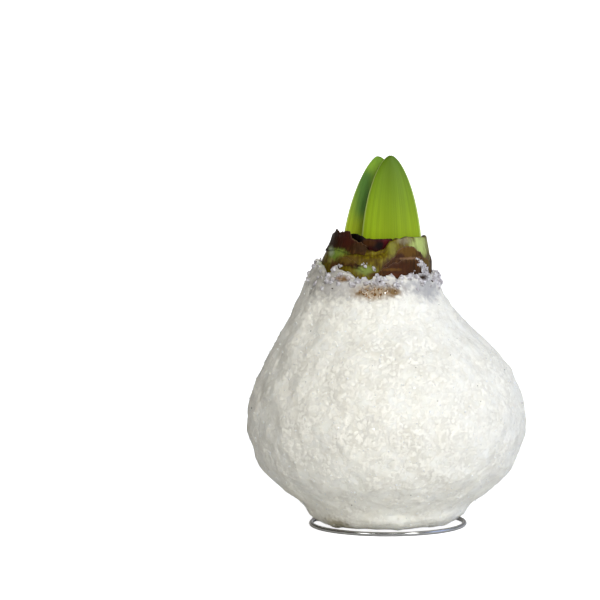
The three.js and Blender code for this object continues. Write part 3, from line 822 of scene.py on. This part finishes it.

# Patches of the neck, of the flesh and of the skins that cling to it, round from the left by way of the
# front to the right. Two small pale ones on the left are painted highlights on the wet green.
NECK_PATCHES_AND_GLINTS = [
    ("#7c923a", around(-139, 99.6), (3.6, 6, 1.5)),
    ("#6c8430", around(-143, 97.6), (1.8, 6, 1.9)),
    # painted highlights: a yellowish glint and a pale bluish-white highlight on the wet green
    ("#98924c", around(-146, 96.9), (1.2, 6, 0.8)),
    ("#9aa682", around(-150, 100), (1, 6, 1.5)),
    ("#5e4a18", around(-122, 97.7), (4, 6, 1.3)),
    ("#4c3014", around(-138, 95.3), (1.8, 6, 2)),
    ("#34200a", around(-107, 101.6), (4.4, 6, 1.5)),
    ("#7a8840", around(-100, 94.2), (3.3, 6, 1.5)),
    ("#482c0a", around(-88, 92.6), (2.2, 6, 0.8)),
    ("#3e200c", around(-67, 95), (5.5, 6, 2.6)),
    ("#5c4010", around(-57, 100.3), (4.4, 6, 2.4)),
    ("#3a1e0c", around(-66, 98.8), (2, 6, 1.1)),
    ("#7a5c40", around(-53, 98.1), (3.4, 6, 0.4)),
    ("#5e3e14", around(-72, 94.4), (3, 6, 0.5)),
    ("#5f4a1e", around(-22, 95.1), (1.9, 6, 3)),
]
FLESH_PATCHES = [
    ("#747220", around(-76, 101.9), (1.9, 6, 2.8)),
    ("#aebe6c", around(-35, 102.4), (5.4, 7, 3.8)),
    ("#8b8468", around(-62, 104.2), (2.4, 6, 1.3)),
]
FROST_SPOTS = [
    (-41, 96.4, 1.6), (-36, 95, 1.8), (-32, 93.4, 2.2), (-26, 92.6, 2.2), (-129, 95.5, 1),
    (-102, 96, 1.1), (-92, 94.2, 1), (-48, 93.2, 1.2),
]  # degrees, height and size
FROST_PER_MM2 = 1.5
FROST_SIZE = (0.35, 0.85)


def drawn_noise(tree, place, stretch, size, detail=5, roughness=0.5):
    """A noise whose features are drawn out up and down."""
    drawn = add_node(tree, "VectorMath", {0: place, 1: (1, 1, stretch)}, operation="MULTIPLY")
    inputs = {"Vector": drawn, "Scale": 1 / (size * MM), "Detail": detail, "Roughness": roughness}
    return add_node(tree, "TexNoise", inputs)


# Bulb flesh: satin, and green where it has seen light. It browns along its fibres, in spots and
# where it was cut.
flesh, tree, shader, place = start_material("green bulb flesh")
streak = drawn_noise(tree, place, 2 * FIBRE_STRETCH, 0.9)
stops = [(0.32, "#4c3c07"), (0.46, "#5c4c07"), (0.58, "#6c5f09"), (0.72, "#7b7518")]
skin = add_node(tree, "ValToRGB", {0: streak}, stops)
shake = drawn_noise(tree, place, TORN_STRETCH, 1.5, roughness=0.6)
# The patches include painted highlights on the wet green of the neck.
patches_and_painted_light = tint(tree, place, skin, NECK_PATCHES_AND_GLINTS + FLESH_PATCHES, shake)
film = drawn_noise(tree, place, TORN_STRETCH, 3.2, roughness=0.6)
share = add_node(tree, "MapRange", {0: film, 1: 0.5, 2: 0.7, 4: 0.6}, **SMOOTH)
mottled = add_node(tree, "Mix", {0: share, 6: patches_and_painted_light, 7: "#46300f"}, data_type="RGBA")
cut = add_node(tree, "Attribute", attribute_name="cut").outputs["Fac"]
browned = add_node(tree, "Mix", {0: cut, 6: mottled, 7: "#3a2a16"}, data_type="RGBA")
fibre = add_node(tree, "MapRange", {0: streak, 1: 0.25, 2: 0.75, 3: 0.88, 4: 1.1})
shaded = add_node(tree, "VectorMath", {0: browned, "Scale": fibre}, operation="SCALE")
bump = add_node(tree, "Bump", {"Height": streak, "Strength": 0.45, "Distance": 0.25 * MM})
finish = {"Roughness": 0.4, "IOR": 1.42, "Specular IOR Level": 0.15}
set_inputs(tree, shader, finish | {"Base Color": shaded, "Normal": bump})

bulb = add_mesh("bulb_and_neck", body, ring_faces(len(body), BULB_COLUMNS), flesh)
cut_face = (profile[:, :1] < RIM_RADIUS - 0.3) & (profile[:, 1:] > GROOVE_Z - 1)
set_attribute(bulb, body, "cut", 0.9 * cut_face)
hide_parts("bulb")
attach(bulb, "root")


def add_frost(piece, points, seed):
    """Small crystals of clear wax where it splashed on the neck."""
    far = [np.linalg.norm(points - around(d, z), axis=-1) / size for d, z, size in FROST_SPOTS]
    set_attribute(piece, points, "frost", 1 - smoothstep(np.min(far, axis=0), 0.5, 1.2))
    scatter(piece.name + "_frost", piece, crystal_tree, "frost", FROST_PER_MM2, FROST_SIZE, seed)


add_frost(bulb, body, 13)


# ---------------- dry scales
# The oldest scales have dried to brown paper. Torn off when the bulb was cleaned, they cling to
# the neck, crinkled along their fibres, with frayed and curled upper edges.
DRY_SCALES = [
    {
        "name": "dry_scale_left_paper", "node": "dry_scale_left",
        "top": [
            (148, 104.5), (166, 105.4), (182, 105.6), (196, 106.4), (205, 107.8), (214, 107),
            (222, 107.4), (231, 107.6), (236, 104.6), (246, 103.8), (256, 102.6),
        ],
        "bottom": [
            (148, 98.4), (196, 100.2), (206, 100.6), (221, 100.6), (238, 99.6), (247, 99.8), (256, 99.4),
        ],
        "lift": 0.05, "curl": 0.2, "frosted": False,
    },
    {
        "name": "dry_scale_right_paper", "node": "dry_scale_right",
        "top": [
            (-84, 94.5), (-80, 96.4), (-72, 98.6), (-67, 101.2), (-60, 102.4), (-50, 102.2),
            (-38, 100.2), (-28, 97.8), (-18, 96.6), (-8, 96.4), (8, 97.6), (30, 97),
        ],
        "bottom": [(-84, 89.5), (30, 89.5)],
        "lift": 0.05, "curl": 0.15, "frosted": True,
    },
    {
        "name": "dry_scale_back_paper", "node": "dry_scale_back",
        "top": [(38, 100), (56, 102.6), (78, 104), (98, 103), (118, 105), (142, 103)],
        "bottom": [(38, 90.5), (142, 90.5)],
        "lift": 0.05, "curl": 0.5, "frosted": False,
    },
    {
        "name": "dry_strip_right", "node": None,
        "top": [(-88, 92.6), (-80, 95.2), (-70, 97), (-58, 98), (-44, 97.8), (-34, 96.2), (-27, 93)],
        "bottom": [(-88, 90), (-27, 90)],
        "lift": 0.4, "curl": 0.25, "frosted": True,
    },
    {
        "name": "dry_strip_left", "node": None,
        "top": [(-140, 96.5), (-134, 98.2), (-126, 98.4), (-117, 97.6), (-108, 96.2), (-101, 94.6)],
        "bottom": [(-140, 94.8), (-130, 95.8), (-118, 95.6), (-108, 94.6), (-101, 93.8)],
        "lift": 0.1, "curl": 0.15, "frosted": True,
    },
]  # edges are in degrees and heights, and the seeds follow the order of the scales
DRY_PATCHES = [
    ("#2e1a0c", around(-160, 103), (9, 9, 5)),
    ("#3c160c", around(-130, 105), (4, 6, 3.2)),
    ("#3c3212", around(-178, 101), (4, 6, 2)),
    ("#5c2c14", around(-69, 92.6), (2.6, 6, 0.8)),
]
SCALE_THICK = 0.3
SCALE_THIN = 0.12  # at the torn edges
SCALE_TEARS = [(2.4, 0.5), (0.9, 0.35)]
FINE_TEARS = [(0.4, 0.25)]
CRINKLE_SIZE = 2.6
CRINKLE_HEIGHT = 0.12
CREASE_SIZE = 0.8
CREASE_HEIGHT = 0.06
CRINKLE_FROM = (91, 95)  # heights over which crinkles and creases begin
FRAYING = 0.25  # how pale the top edge is
SCALE_GRID = (150, 40)  # faces across and up


def sheet(columns, rows, face):
    """Points and faces of a thin closed body. face(u, v, side) gives its inner face at side 0 and
    its outer face at side 1, for u and v from 0 to 1."""
    u, v = np.meshgrid(np.linspace(0, 1, columns + 1), np.linspace(0, 1, rows + 1))
    points = np.stack([face(u, v, side) for side in (0, 1)])
    inner, outer = np.arange(points[..., 0].size).reshape(points.shape[:3])
    quads = [
        (outer[:-1, :-1], outer[:-1, 1:], outer[1:, 1:], outer[1:, :-1]),
        (inner[:-1, :-1], inner[1:, :-1], inner[1:, 1:], inner[:-1, 1:]),
        (inner[0, :-1], inner[0, 1:], outer[0, 1:], outer[0, :-1]),
        (outer[-1, :-1], outer[-1, 1:], inner[-1, 1:], inner[-1, :-1]),
        (inner[:-1, 0], outer[:-1, 0], outer[1:, 0], inner[1:, 0]),
        (outer[:-1, -1], inner[:-1, -1], inner[1:, -1], outer[1:, -1]),
    ]
    faces = np.concatenate([np.stack(quad, axis=-1).reshape(-1, 4) for quad in quads])
    return points, faces.tolist()


def scale_face(top, bottom, radius_at, curl, ragged, seed):
    """The two faces of a scale round the neck, between a bottom edge and a torn top edge."""

    def face(u, v, side):
        degrees = top[0][0] + (top[-1][0] - top[0][0]) * u
        angle = np.radians(degrees)
        trace = np.stack([0.3 * degrees, 0 * u, 0 * u], axis=-1)
        torn = waves(trace, SCALE_TEARS, seed) + waves(trace, FINE_TEARS, seed + 5)
        low = edge_height(bottom, degrees) - ragged * torn * 0.7
        high = edge_height(top, degrees) + ragged * torn
        z = low + (high - low) * v
        flat = round_axis(angle, radius_at(z), z)
        crinkles = smooth_noise(flat * [1, 1, 0.35], CRINKLE_SIZE, seed + 2) + 1
        creases = smooth_noise(flat * ALONG_FIBRES, CREASE_SIZE, seed + 3) + 1
        edge = np.minimum(np.minimum(u, 1 - u) * (top[-1][0] - top[0][0]) * 0.3, (1 - v) * 12)
        thick = SCALE_THIN + (SCALE_THICK - SCALE_THIN) * smoothstep(edge, 0, 2)
        lift = CRINKLE_HEIGHT * crinkles + CREASE_HEIGHT * creases
        lift = lift * smoothstep(z, *CRINKLE_FROM)
        lift = lift + curl * (0.6 + 0.8 * smooth_noise(trace, 4, seed + 4)) * smoothstep(v, 0.6, 1) ** 2
        lift = np.maximum(lift, 0) + neck_relief(flat)
        return round_axis(angle, radius_at(z) + lift + side * thick, z)

    return face


# Dry bulb tunic: brown paper with fine fibres up it, shiny where it is taut and pale where frayed.
paper, tree, shader, place = start_material("dry brown tunic")
streak = drawn_noise(tree, place, 1.2 * FIBRE_STRETCH, 0.7, detail=6)
stops = [(0.34, "#2c1806"), (0.48, "#3a230a"), (0.6, "#462a0c"), (0.74, "#5a3e1c")]
tunic = add_node(tree, "ValToRGB", {0: streak}, stops)
shake = drawn_noise(tree, place, TORN_STRETCH, 1.5, roughness=0.6)
# The patches include the neck's painted highlights, where the skin lies over them.
patches_and_painted_light = tint(tree, place, tunic, DRY_PATCHES + NECK_PATCHES_AND_GLINTS, shake)
frayed = add_node(tree, "Attribute", attribute_name="frayed").outputs["Fac"]
pale = add_node(tree, "Mix", {0: frayed, 6: patches_and_painted_light, 7: "#9a7f6a"}, data_type="RGBA")
fibre = add_node(tree, "MapRange", {0: streak, 1: 0.25, 2: 0.75, 3: 0.8, 4: 1.15})
shaded = add_node(tree, "VectorMath", {0: pale, "Scale": fibre}, operation="SCALE")
bump = add_node(tree, "Bump", {"Height": streak, "Strength": 0.5, "Distance": 0.3 * MM})
finish = {"Roughness": 0.5, "IOR": 1.5, "Specular IOR Level": 0.1}
set_inputs(tree, shader, finish | {"Base Color": shaded, "Normal": bump})

for number, scale in enumerate(DRY_SCALES):
    lift, seed = scale["lift"], 40 + 7 * number
    face = scale_face(
        scale["top"], scale["bottom"], lambda z: side_radius(z) + lift, scale["curl"], 1, seed
    )
    points, faces = sheet(*SCALE_GRID, face)
    piece = add_mesh(scale["name"], points, faces, paper)
    v = np.linspace(0, 1, points.shape[1])[:, None]
    set_attribute(piece, points, "frayed", FRAYING * smoothstep(v, 0.95, 1))
    if scale["node"]:
        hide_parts(scale["node"])
    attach(piece, "root")
    if scale["frosted"]:
        add_frost(piece, points, 14 + number)


# ---------------- inner scales
# In the groove stand the shrunken tips of two younger scales, which dried to a dark red.
GROOVE_SCALE_RADIUS = 13
INNER_GRID = (90, 24)
INNER_SCALES = [
    {
        "node": "inner_scale_front",
        "top": [
            (-146, 103.4), (-140, 106.4), (-128, 106.4), (-120, 105.8), (-111, 104.9), (-94, 104.8),
            (-74, 104.9), (-60, 103),
        ],
        "bottom": [(-146, 97.8), (-60, 97.8)],
    },
    {
        "node": "inner_scale_back",
        "top": [(48, 101.4), (70, 104), (96, 103.2), (120, 104.4), (136, 101.8)],
        "bottom": [(48, 97.8), (136, 97.8)],
    },
]
RED_PATCHES_AND_SHADOWS = [
    # painted shadow: near-black inside the neck, seen over the torn rim on the left
    ("#0e0706", around(-128, 104, GROOVE_SCALE_RADIUS), (4.6, 6, 5)),
    ("#500a12", around(-79, 102.6, GROOVE_SCALE_RADIUS), (2, 3, 2)),
    # painted shadow: near-black in the dip of the rim, under the front leaf
    ("#120605", around(-90, 102.4, GROOVE_SCALE_RADIUS), (1.9, 3, 1.5)),
    ("#46280f", around(-106, 103.4, GROOVE_SCALE_RADIUS), (2.4, 3, 1.3)),
]

# Dried scale: thin, dark red and streaked, with a dull sheen where it is drawn tight. Two near-black
# patches on it are painted shadow inside the neck.
red_paper, tree, shader, place = start_material("dried red scale")
streak = drawn_noise(tree, place, 2 * FIBRE_STRETCH, 0.8)
red = add_node(tree, "Mix", {0: streak, 6: "#1a0806", 7: "#3c1009"}, data_type="RGBA")
# The patches include painted shadow inside the neck.
patches_and_painted_light = tint(tree, place, red, RED_PATCHES_AND_SHADOWS, streak, warp=0.6, soft=0.5)
bump = add_node(tree, "Bump", {"Height": streak, "Strength": 0.9, "Distance": 0.3 * MM})
finish = {"Base Color": patches_and_painted_light, "Roughness": 0.4, "Specular IOR Level": 0.15, "Normal": bump}
set_inputs(tree, shader, finish)

for number, scale in enumerate(INNER_SCALES):
    seed = 80 + 7 * number
    face = scale_face(
        scale["top"], scale["bottom"], lambda z: GROOVE_SCALE_RADIUS + 0 * z, 0.2, 0.35, seed
    )
    points, faces = sheet(*INNER_GRID, face)
    piece = add_mesh(scale["node"] + "_paper", points, faces, red_paper)
    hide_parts(scale["node"])
    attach(piece, "root")


# ---------------- leaves
# Two young strap leaves, thick and firm, with blunt tips, face to face. Each is thickest at the
# midrib, has a thin pale edge, and comes up out of the middle of the neck.
LEAF_FOOT_Z = 90
LEAF_TAPER = 40
LEAF_WIDTH = 22.4
LEAF_THICK = 2.3
LEAF_EDGE = 1.1
RIB_HEIGHT = 0.05
RIB_TURNS = 46  # radians of the ribs' wave from the midrib to an edge
MIDRIB_HEIGHT = 0.12
MIDRIB_WIDTH = 0.05  # as a share of the half leaf
LEAF_GRID = (56, 96)
LEAVES = [
    {
        "node": "leaf_front", "x": 1.9, "y": -4, "bow": -3, "skew": 0, "tip": (1.5, -1.5, 134),
        "material": "young leaf outside", "greens": ("#91aa18", "#74901a", "#587619"),
        # painted light and shade: the left half lighter, the right half darker
        "painted_side_light": (1.25, 0.85), "fold_shade": None,
    },
    {
        "node": "leaf_back", "x": -5.6, "y": 2.8, "bow": 3, "skew": 0.1, "tip": (-3.4, 0.9, 133.5),
        "material": "young leaf inside", "greens": ("#9aa924", "#8ca62c", "#7ea638"),
        # painted light and shade: the left half a little lighter, and a painted shade colour where the
        # front leaf shades this one
        "painted_side_light": (1.1, 1), "fold_shade": "#527634",
    },
]
GREEN_PLACES = (0, 0.55, 0.97)  # of the foot's, the middle's and the tip's green over GREEN_Z
GREEN_Z = (104, 134)
PALE_EDGE = "#cfe28a"
# Painted shade: the inner leaf is darker and bluer beside the front leaf's left edge, where that leaf
# shades it: along each axis, from where it isn't to where it fully is.
FOLD_SHADE = [("X", -15, -8.5), ("X", -3, -7), ("Z", 107, 115), ("Z", 131, 126)]


def across_leaf(u):
    """Place across a leaf from -1 to 1, with the steps shorter towards its edges."""
    return np.sin((u - 0.5) * math.pi) * 0.35 + (2 * u - 1) * 0.65


def leaf_face(leaf):
    """The two faces of a leaf, with ribs that fade towards its tip."""
    tip_x, tip_y, tip_z = leaf["tip"]
    length = tip_z - LEAF_FOOT_Z

    def face(u, v, side):
        across = across_leaf(u)
        from_tip = length * (1 - v) ** 2 + 0.08
        up = 1 - from_tip / length
        rounding = 1 - (1 - np.minimum(from_tip / LEAF_TAPER, 1)) ** 2
        half = LEAF_WIDTH / 2 * rounding ** (0.6 - leaf["skew"] * across)
        thick = LEAF_THICK + (LEAF_EDGE - LEAF_THICK) * across**2
        thick = thick * (1 - 0.4 * up**2) * np.sqrt(1.002 - across**14) * np.sqrt(1.01 - up**70)
        bulge = leaf["bow"] * (1 - across**2) * (1 - 0.6 * up**2)
        rib = RIB_HEIGHT * np.cos(across * RIB_TURNS)
        rib = rib + MIDRIB_HEIGHT * np.exp(-((across / MIDRIB_WIDTH) ** 2))
        x = leaf["x"] + (tip_x - leaf["x"]) * up + across * half
        y = leaf["y"] + (tip_y - leaf["y"]) * up**2 + bulge + (0.5 - side) * (thick + rib * (1 - up))
        return np.stack([x, y, tip_z - from_tip], axis=-1)

    return face


def leaf_material(name, greens, painted_side_light, fold_shade):
    """Young amaryllis leaf: waxy and smooth, with fine straight veins, yellow-green at its foot, and
    duller along the midrib. Painted light and shade make one half lighter than the other, and the inner
    leaf has a painted shade where the front leaf shades it."""
    material, tree, shader, place = start_material(name)
    parts = add_node(tree, "SeparateXYZ", {0: place}).outputs
    low, high = GREEN_Z
    rise = add_node(tree, "MapRange", {0: parts["Z"], 1: low * MM, 2: high * MM})
    colour = add_node(tree, "ValToRGB", {0: rise}, list(zip(GREEN_PLACES, greens)))
    # Painted shade on the inner leaf, where the front leaf shades it.
    if fold_shade:
        share = add_node(tree, "Attribute", attribute_name="inner_face").outputs["Fac"]
        for axis, none, full in FOLD_SHADE:
            fade = {0: parts[axis], 1: none * MM, 2: full * MM}
            within = add_node(tree, "MapRange", fade, **SMOOTH)
            share = add_node(tree, "Math", {0: share, 1: within}, operation="MULTIPLY")
        colour = add_node(tree, "Mix", {0: share, 6: colour, 7: fold_shade}, data_type="RGBA")
    across = add_node(tree, "Attribute", attribute_name="across").outputs["Fac"]
    lines = add_node(tree, "CombineXYZ", {0: across, 1: parts["Z"]})
    vein = add_node(tree, "TexNoise", {"Vector": lines, "Scale": 22, "Detail": 5})
    depth = add_node(tree, "MapRange", {0: vein, 1: 0.3, 2: 0.7, 3: 0.84, 4: 1.12})
    size = add_node(tree, "Math", {0: across}, operation="ABSOLUTE")
    midrib = add_node(tree, "MapRange", {0: size, 1: 0, 2: 0.6, 3: 0.88, 4: 1.06}, **SMOOTH)
    # Painted light and shade: one half of the leaf lighter than the other.
    half = add_node(tree, "MapRange", {0: across, 1: -1, 2: 1, 3: painted_side_light[0], 4: painted_side_light[1]})
    for part in (midrib, half):
        depth = add_node(tree, "Math", {0: depth, 1: part}, operation="MULTIPLY")
    veined = add_node(tree, "VectorMath", {0: colour, "Scale": depth}, operation="SCALE")
    edge = add_node(tree, "MapRange", {0: size, 1: 0.93, 2: 1, 3: 0, 4: 0.75}, **SMOOTH)
    edged = add_node(tree, "Mix", {0: edge, 6: veined, 7: PALE_EDGE}, data_type="RGBA")
    bump = add_node(tree, "Bump", {"Height": vein, "Strength": 0.5, "Distance": 0.15 * MM})
    finish = {
        "Base Color": edged,
        "Roughness": 0.42,
        "IOR": 1.42,
        "Specular IOR Level": 0.2,
        "Subsurface Weight": 0.15,
        "Subsurface Radius": (0.6, 1, 0.2),
        "Subsurface Scale": 1 * MM,
        "Normal": bump,
    }
    set_inputs(tree, shader, finish)
    return material


for leaf in LEAVES:
    blade = leaf_material(leaf["material"], leaf["greens"], leaf["painted_side_light"], leaf["fold_shade"])
    points, faces = sheet(*LEAF_GRID, leaf_face(leaf))
    piece = add_mesh(leaf["node"] + "_blade", points, faces, blade)
    across = across_leaf(np.linspace(0, 1, points.shape[2]))
    set_attribute(piece, points, "across", across)
    set_attribute(piece, points, "inner_face", points[..., 1] < points.mean(axis=0)[..., 1])
    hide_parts(leaf["node"])
    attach(piece, "root")
